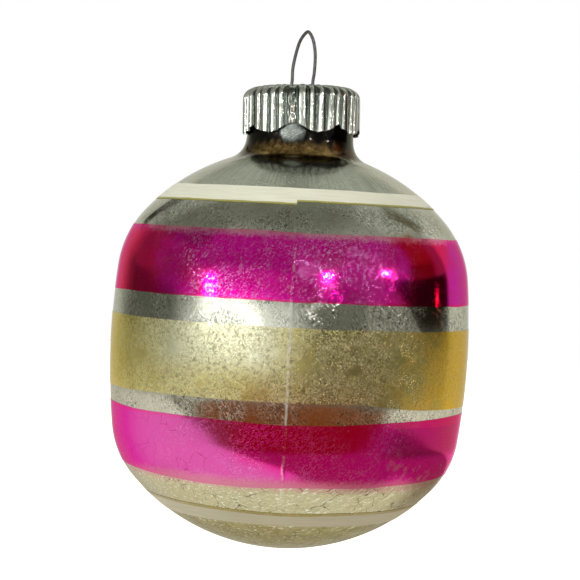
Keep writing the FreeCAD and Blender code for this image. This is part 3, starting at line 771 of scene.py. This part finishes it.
def gold_lacquer():
    """Pale gold lacquer with short bright flecks, partly painted sparkle, and olive gaps; a painted
    highlight on the left and painted shade on the right, deepening to amber there.
    """
    look = Recipe("gold_lacquer", Metallic=1.0, Coat_Weight=0.35, Coat_Roughness=0.08, Coat_IOR=1.45,
                  Specular_Tint=(0.72, 0.60, 0.25, 1.0))
    cloud = look.noise(8, 4, 0.6, seed=41)
    grain = look.noise(0.45, 3, 0.75, seed=44)
    colour = look.mix(look.step(cloud, 0.3, 0.7), (0.64, 0.56, 0.18), (0.80, 0.74, 0.36))
    # Painted highlight: whiter gold left of the middle, high on the band.
    pale = look.times(look.near(look.x, -11, 6, 7), look.step(look.z, 29, 34))
    colour = look.lay(colour, pale, (0.94, 0.96, 0.74), 0.85)
    # Painted shade: the gold darkens from the middle towards the right.
    deep = look.step(look.plus(look.x, look.step(cloud, 0.3, 0.7, -3, 3)), -1, 6)
    colour = look.lay(colour, deep, (0.30, 0.25, 0.055), 0.75)
    amber = look.step(look.plus(look.x, look.step(cloud, 0.3, 0.7, -4, 4)), 14, 25)
    colour = look.lay(colour, amber, (0.70, 0.44, 0.03), 0.9)
    low = look.times(look.step(look.z, 32, 26), look.near(look.x, 3, 6, 6))
    colour = look.lay(colour, low, (0.46, 0.24, 0.06), 0.65)
    marked = look.times(look.step(look.noise(5, 3, 0.6, seed=46), 0.32, 0.52, 0.2, 1.0),
                        look.step(look.math("ABSOLUTE", look.plus(look.x, 3)), 26, 18, 0.3, 1.0))
    gaps = look.times(look.step(look.noise(0.55, 4, 0.75, seed=48, warp=0.8), 0.48, 0.60), marked)
    colour = look.lay(colour, gaps, (0.13, 0.11, 0.02), 0.75)
    # The bright flecks are partly flakes in the lacquer and partly painted sparkle, mostly in the middle.
    flecks = look.strokes(0.22, 0.6, 55, 0.54, 0.61, seed=50, warp=2.4)
    fine = look.strokes(0.20, 0.5, -50, 0.55, 0.62, seed=54, warp=2.2)
    bright = look.times(look.either(flecks, fine), marked)
    colour = look.lay(colour, bright, (1.0, 0.98, 0.62), 0.85)
    pits = look.step(look.noise(0.8, 3, 0.7, seed=55), 0.26, 0.22)
    colour = look.lay(colour, pits, (0.10, 0.06, 0.02), 0.8)
    seam = look.seam(0.34, 0.38, 0.50)
    colour = look.lay(colour, seam, (1.0, 0.99, 0.88), 0.6)
    rough = look.plus(look.step(grain, 0.2, 0.9, 0.14, 0.26), look.times(look.either(bright, seam), 0.1))
    return look.finish(colour, rough, look.plus(look.times(grain, 0.5), look.times(bright, 0.9)), 0.010)


def cream_paint(name, shade, edge=None, jog=0.0):
    """Thin chalky paint with spun brush lines; edge adds an olive line there, jog higher on the right."""
    look = Recipe(name, Coat_Weight=0.15, Coat_Roughness=0.2)
    brush = look.noise(0.5, 3, 0.6, seed=61, stretch=(14, 14, 0.5), around=True)
    cloud = look.noise(5, 3, 0.5, seed=63)
    dirt = look.step(look.noise(1.1, 5, 0.75, seed=66), 0.62, 0.76)
    thin = tuple(part * 0.9 for part in shade)
    colour = look.mix(look.step(brush, 0.3, 0.7), shade, thin)
    colour = look.lay(colour, look.step(cloud, 0.35, 0.7), (0.66, 0.65, 0.48), 0.2)
    colour = look.lay(colour, dirt, (0.40, 0.36, 0.22), 0.25)
    if edge is not None:
        wander = look.step(look.noise(4, 2, seed=68, around=True), 0, 1, -0.08, 0.08)
        height = look.plus(look.plus(look.z, wander), look.step(look.x, -0.02, 0.02, 0.0, -jog))
        colour = look.mix(look.step(height, edge + 0.32, edge + 0.16), colour, (0.32, 0.30, 0.07))
    brushed = look.plus(look.times(brush, 0.7), look.times(dirt, -0.5))
    return look.finish(colour, look.step(brush, 0.2, 0.8, 0.42, 0.62), brushed, 0.02)


def ochre_paint():
    """A thin line of dull metallic ochre."""
    look = Recipe("ochre_paint", Metallic=0.4, Coat_Weight=0.4, Coat_Roughness=0.15)
    patchy = look.noise(1.6, 4, 0.7, seed=71, around=True)
    colour = look.mix(look.step(patchy, 0.3, 0.7), (0.34, 0.27, 0.07), (0.48, 0.40, 0.14))
    return look.finish(colour, look.step(patchy, 0.2, 0.8, 0.3, 0.5), patchy, 0.01)


def cap_metal():
    """Bright pressed aluminium, scratched along the flutes and darkened down in the grooves with grime and
    painted shade.
    """
    look = Recipe("cap_metal", Metallic=1.0, Specular_Tint=(0.6, 0.6, 0.58, 1.0))
    reach = look.math("SQRT", look.plus(look.times(look.x, look.x), look.times(look.y, look.y)))
    tilt = look.plus(look.times(look.y, math.radians(CAP_TIP)), look.times(look.x, -math.radians(CAP_LEAN)))
    climb = look.step(look.plus(look.z, tilt), CAP_TOP - CAP_SHOULDER, CAP_TOP)
    level = look.math("SQRT", look.minus(1.0, look.times(climb, climb)))
    wall = look.plus(reach, look.times(look.minus(1.0, level), CAP_BEND))
    # Grime and painted shade: the grooves between the flutes are painted near black.
    groove = look.times(look.step(wall, 9.62, 9.40), look.step(climb, 0.98, 0.90))
    drawn = look.noise(0.2, 3, 0.6, seed=81, stretch=(1, 1, 14), around=True)
    grain = look.noise(0.6, 4, 0.7, seed=83)
    stain = look.step(look.noise(2.2, 4, 0.65, seed=86), 0.54, 0.72)
    colour = look.mix(look.step(grain, 0.3, 0.7), (0.86, 0.90, 0.87), (0.66, 0.69, 0.64))
    colour = look.lay(colour, groove, (0.05, 0.075, 0.06), 0.9)
    colour = look.lay(colour, look.step(drawn, 0.54, 0.70), (0.20, 0.23, 0.18), 0.45)
    colour = look.lay(colour, stain, (0.28, 0.28, 0.18), 0.35)
    rough = look.plus(look.step(grain, 0.2, 0.8, 0.09, 0.20), look.times(stain, 0.15))
    rough = look.plus(rough, look.step(climb, 0.8, 1.0, 0.0, 0.22))
    return look.finish(colour, rough, look.plus(look.times(drawn, 0.6), look.times(grain, 0.7)), 0.014)


def wire_metal():
    """Dull dark drawn steel with a few rusty patches."""
    look = Recipe("wire_metal", Metallic=1.0, Specular_Tint=(0.3, 0.3, 0.3, 1.0))
    grain = look.noise(0.35, 4, 0.7, seed=91)
    rust = look.step(look.noise(1.8, 4, 0.7, seed=94), 0.58, 0.72)
    colour = look.mix(look.step(grain, 0.3, 0.7), (0.13, 0.13, 0.14), (0.24, 0.24, 0.25))
    colour = look.lay(colour, rust, (0.09, 0.06, 0.04), 0.5)
    rough = look.plus(look.step(grain, 0.2, 0.8, 0.28, 0.45), look.times(rust, 0.2))
    return look.finish(colour, rough, grain, 0.01)


def silver_film():
    """The silvering itself, seen only from inside the ball."""
    look = Recipe("silver_film", Metallic=1.0)
    grain = look.noise(0.8, 4, 0.7, seed=96)
    colour = look.mix(look.step(grain, 0.35, 0.7), (0.62, 0.63, 0.55), (0.35, 0.34, 0.26))
    return look.finish(colour, look.step(grain, 0.2, 0.8, 0.18, 0.34), grain, 0.01)


# ---- studio

def dress(piece, material, body, slot, *nodes):
    """Give a piece its material, fix it to its CAD body and let it stand for its CAD nodes."""
    piece.data.materials.clear()
    piece.data.materials.append(material)
    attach(piece, body)
    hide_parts(*nodes)


def make_floor():
    """A plain pale floor, well below the hanging ornament, that ends a little in front of it."""
    mesh = bpy.data.meshes.new("floor")
    left, right, near, far, level = -3.0, 3.0, -0.75, 4.0, -0.30
    mesh.from_pydata([(left, near, level), (right, near, level), (right, far, level), (left, far, level)],
                     [], [(0, 1, 2, 3)])
    floor = link_object("floor", mesh)
    look = bpy.data.materials.new("floor_paper")
    look.use_nodes = True
    shader = look.node_tree.nodes["Principled BSDF"]
    shader.inputs["Base Color"].default_value = (0.85, 0.84, 0.80, 1)
    shader.inputs["Roughness"].default_value = 0.9
    shader.inputs["Emission Color"].default_value = (1.0, 0.97, 0.90, 1)
    shader.inputs["Emission Strength"].default_value = 1.0
    mesh.materials.append(look)
    floor.visible_glossy = False
    floor.visible_diffuse = False


class Sky(Nodes):
    """The studio as seen in reflections: brightness by degrees round from the front and degrees up."""

    def __init__(self):
        world = bpy.data.worlds.new("studio")
        bpy.context.scene.world = world
        world.use_nodes = True
        super().__init__(world.node_tree)
        x, y, z = self.split(self.nodes.new("ShaderNodeTexCoord").outputs["Generated"])
        self.round = self.math("DEGREES", self.math("ARCTAN2", x, self.times(y, -1)))
        self.up = self.math("DEGREES", self.math("ARCSINE", z))
        self.away = self.math("ABSOLUTE", self.round)

    def cover(self, room, layers):
        """The room with layers over it, one after another, each a share and the colour where it is 1."""
        for share, colour in layers:
            room = self.mix(share, room, colour)
        return room

    def patch(self, left, right, bottom, top, soft, lean=0.0, lean_right=None):
        """1 inside a patch given in degrees, fading to 0 over soft; its sides lean so much a degree up."""
        lean_right = lean if lean_right is None else lean_right
        from_left = self.minus(self.round, self.times(self.up, lean))
        from_right = self.minus(self.round, self.times(self.up, lean_right))
        sides = self.times(self.step(from_left, left - soft, left),
                           self.step(from_right, right + soft, right))
        ends = self.times(self.step(self.up, bottom - soft, bottom), self.step(self.up, top + soft, top))
        return self.times(sides, ends)

    def oval(self, centre_round, centre_up, half_round, half_up, soft):
        """1 inside an oval given in degrees, fading to 0 as the distance goes from 1 to 1 + soft."""
        across = self.math("DIVIDE", self.minus(self.round, centre_round), half_round)
        above = self.math("DIVIDE", self.minus(self.up, centre_up), half_up)
        away = self.math("SQRT", self.plus(self.times(across, across), self.times(above, above)))
        return self.step(away, 1.0 + soft, 1.0)


def sky_above(sky):
    """From a little below level upwards: a dim room, white paper behind, a soft window and dark things."""
    paper_edge = sky.times(sky.step(sky.away, 118, 136), sky.patch(-360, 360, 36, 70, 6))
    paper_top = sky.times(sky.step(sky.away, 160, 174), sky.patch(-360, 360, 50, 76, 6))
    left_paper = sky.times(sky.step(sky.round, -126, -150), sky.step(sky.up, 36, 26))
    right_paper = sky.times(sky.step(sky.round, 119, 123), sky.step(sky.up, 40, 26))
    cap_shadow = sky.times(sky.step(sky.away, 166, 172), sky.patch(-360, 360, 26, 49, 3))
    room = sky.mix(sky.step(sky.up, 5, 12), (0.19, 0.19, 0.155), (0.34, 0.33, 0.30))
    return sky.cover(room, [
        (sky.step(sky.up, 50, 76), (0.20, 0.205, 0.165)),
        (sky.patch(-160, -74, 34, 90, 12), (0.21, 0.21, 0.17)),
        (sky.patch(92, 124, 42, 60, 8), (0.46, 0.46, 0.41)),
        (paper_edge, (0.46, 0.48, 0.42)),
        (paper_top, (0.32, 0.34, 0.29)),
        (sky.patch(-124, -70, 5, 22, 4), (0.28, 0.28, 0.24)),
        (sky.patch(-124, -78, -2, 4, 2), (0.13, 0.135, 0.11)),
        (sky.patch(-150, -66, -20, -4, 2), (0.40, 0.39, 0.32)),
        (sky.patch(80, 150, -20, -4, 2), (0.42, 0.40, 0.33)),
        (left_paper, (0.80, 0.79, 0.73)),
        (sky.patch(-149, -143, 18, 36, 3), (0.05, 0.05, 0.04)),
        (right_paper, (0.80, 0.78, 0.70)),
        (cap_shadow, (0.035, 0.050, 0.025)),
        (sky.patch(122, 131, 36, 50, 3), (0.15, 0.13, 0.08)),
        (sky.patch(90, 107, 16, 38, 6), (0.30, 0.12, 0.05)),
        (sky.patch(86, 105, 3, 17, 5), (0.17, 0.055, 0.03)),
        (sky.patch(50, 90, -3, 6, 2, lean_right=-3.0), (0.33, 0.32, 0.27)),
        (sky.patch(92, 118, 0.5, 8, 2, lean=-3.0, lean_right=0.0), (0.015, 0.012, 0.008)),
        (sky.oval(-32, 0, 34, 13, 0.6), (0.56, 0.56, 0.51)),
        (sky.oval(-31, 1, 29, 5, 0.5), (1.05, 1.05, 1.00)),
        (sky.oval(-37, 2, 14, 3, 0.7), (2.2, 2.2, 2.1)),
    ])


def sky_below(sky):
    """The lower half: a bright sheet to the left, a duller one to the right and dark brown in front."""
    slope = sky.plus(sky.round, sky.times(sky.up, 1.8))
    sheet = sky.times(sky.step(sky.away, 88, 112), sky.step(sky.up, -31, -42))
    wedge = sky.patch(-128, 0, -22, 0, 5, lean=-4.5, lean_right=0.0)
    brown = sky.times(sky.oval(4, -11, 56, 12, 0.28), sky.patch(-128, 360, -40, 0, 5, lean=-4.5))
    room = sky.mix(sky.step(sky.round, 4, 26), (1.0, 0.93, 0.83), (0.44, 0.37, 0.29))
    return sky.cover(room, [
        (sky.step(slope, -86, -78), (0.38, 0.29, 0.21)),
        (sheet, (0.86, 0.82, 0.64)),
        (sky.step(sky.away, 148, 172), (0.70, 0.64, 0.52)),
        (sky.step(sky.up, -57, -66), (0.84, 0.81, 0.64)),
        (sky.patch(40, 360, -18, -14, 2), (0.38, 0.30, 0.25)),
        (sky.patch(62, 360, -13.4, 0, 1), (1.0, 0.92, 0.78)),
        (wedge, (0.19, 0.15, 0.10)),
        (brown, (0.27, 0.075, 0.022)),
    ])


def make_sky():
    """The studio light, with plain white where the camera looks past the ornament."""
    sky = Sky()
    outward = sky.either(sky.minus(sky.away, 60), 0)
    level = sky.minus(sky.up, sky.times(outward, 0.06))
    room = sky.mix(sky.step(level, -12.4, -11.4), sky_below(sky), sky_above(sky))
    paths = sky.nodes.new("ShaderNodeLightPath")
    room = sky.mix(paths.outputs["Is Camera Ray"], room, (1.0, 1.0, 1.0))
    background = sky.nodes.new("ShaderNodeBackground")
    output = sky.nodes.new("ShaderNodeOutputWorld")
    sky.links.new(room, background.inputs["Color"])
    sky.links.new(background.outputs[0], output.inputs["Surface"])


LAMP_DISTANCE = 1.2                     # metres from the lamps to the place they face
LAMP_AIM = Vector((0, 0, -0.05))        # that place, in the row frame


def aim(place, rotation):
    """The matrix of a thing at a place, turned by a rotation."""
    return Matrix.Translation(place) @ rotation.to_matrix().to_4x4()


def make_lamp(name, round_degrees, up_degrees, width, height, power, tint=(1.0, 0.96, 0.92)):
    """An oval lamp facing the ornament, in a direction given in degrees from the front and degrees up."""
    light = bpy.data.lights.new(name, "AREA")
    light.shape = "ELLIPSE"
    light.size = width
    light.size_y = height
    light.energy = power
    light.color = tint
    lamp = link_object(name, light)
    turn, up = math.radians(round_degrees), math.radians(up_degrees)
    away = Vector((math.sin(turn) * math.cos(up), -math.cos(turn) * math.cos(up), math.sin(up)))
    lamp.matrix_world = aim(away * LAMP_DISTANCE + LAMP_AIM, away.to_track_quat("Z", "Y"))
    return lamp


def make_camera():
    """A long lens a little above the ball's middle, rolled so the hanging ornament leans to the right."""
    data = bpy.data.cameras.new("camera")
    data.sensor_width = 36
    data.lens = 128.6
    data.clip_start = 0.02
    data.clip_end = 20
    camera = link_object("camera", data)
    place = Vector((-0.36, -347.0, -31.9)) * MM
    target = Vector((-0.36, 0.0, -43.0)) * MM
    roll = Matrix.Rotation(math.radians(3.0), 4, "Z")
    camera.matrix_world = aim(place, (target - place).to_track_quat("-Z", "Y")) @ roll
    bpy.context.scene.camera = camera


# ---- assembly

OCHRE_FOOT = [(-1, 8.7), (0, 8.15), (1, 8.7)]   # where the ochre line meets the lower white stripe

BANDS = [
    # node, slot, material, shape
    ("upper_white_stripe", "cream_paint", cream_paint("cream_upper", (0.79, 0.80, 0.67), 57.3, 0.5),
     dict(bottom=57.3, top=59.95, wobble=0.08, jog=0.5, seed=1.0)),
    ("upper_magenta_band", "magenta_lacquer", lacquer("magenta_upper", 42.25, 53.0, 101),
     dict(bottom=42.25, top=53.0, wobble=0.14, seed=2.0)),
    ("gold_band", "gold_lacquer", gold_lacquer(),
     dict(bottom=[(-1, 26.4), (-0.7, 26.6), (0.4, 26.8), (0.65, 25.9), (1, 25.6)], top=38.3,
          wobble=0.08, seed=3.0)),
    ("lower_magenta_band", "magenta_lacquer", lacquer("magenta_lower", 13.3, 23.4, 121, faded=True),
     dict(bottom=[(-1, 13.8), (-0.6, 13.1), (-0.2, 12.9), (0.1, 13.3), (0.5, 13.4), (1, 14.2)],
          top=[(-1, 23.7), (-0.5, 23.5), (0, 23.2), (0.3, 23.5), (0.8, 24.4), (1, 24.5)],
          wobble=0.12, seed=4.0)),
    ("ochre_line", "ochre_paint", ochre_paint(),
     dict(bottom=OCHRE_FOOT, top=[(-1, 9.15), (0, 8.6), (1, 9.15)],
          wobble=0.07, seed=5.0)),
    # Painted shade: the lower stripe is the same cream paint given a darker colour for the ball's underside.
    ("lower_white_stripe", "cream_paint", cream_paint("cream_lower", (0.62, 0.60, 0.47)),
     dict(bottom=6.35, top=OCHRE_FOOT, wobble=0.10, seed=5.0)),
]

dress(make_glass(), silvered_glass(), "ball", "glass", "glass_envelope")
for node, slot, material, shape in BANDS:
    dress(make_band(node + "_skin", **shape), material, "ball", slot, node)
dress(make_cap(), cap_metal(), "cap", "cap_metal", "ornament_cap")
dress(make_wire(), wire_metal(), "hanger", "wire", "hanger_wire")
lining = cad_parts["silver_lining"]
lining.data.materials.clear()
lining.data.materials.append(silver_film())

make_floor()
make_sky()
make_lamp("lamp_left", -53.5, 7.2, 0.13, 0.014, 0.5)
make_lamp("lamp_centre", 22.3, 13.6, 0.085, 0.060, 1.1)
make_lamp("lamp_right", 62.9, 15.8, 0.075, 0.055, 0.95)
make_lamp("lamp_red", 106.0, 3.8, 0.030, 0.008, 0.018, (1.0, 0.30, 0.20))
softbox = make_lamp("softbox", -25, 58, 1.2, 1.2, 10.0, (1.0, 0.99, 0.95))
softbox.visible_glossy = False
make_camera()
bpy.context.scene.view_settings.view_transform = "Standard"
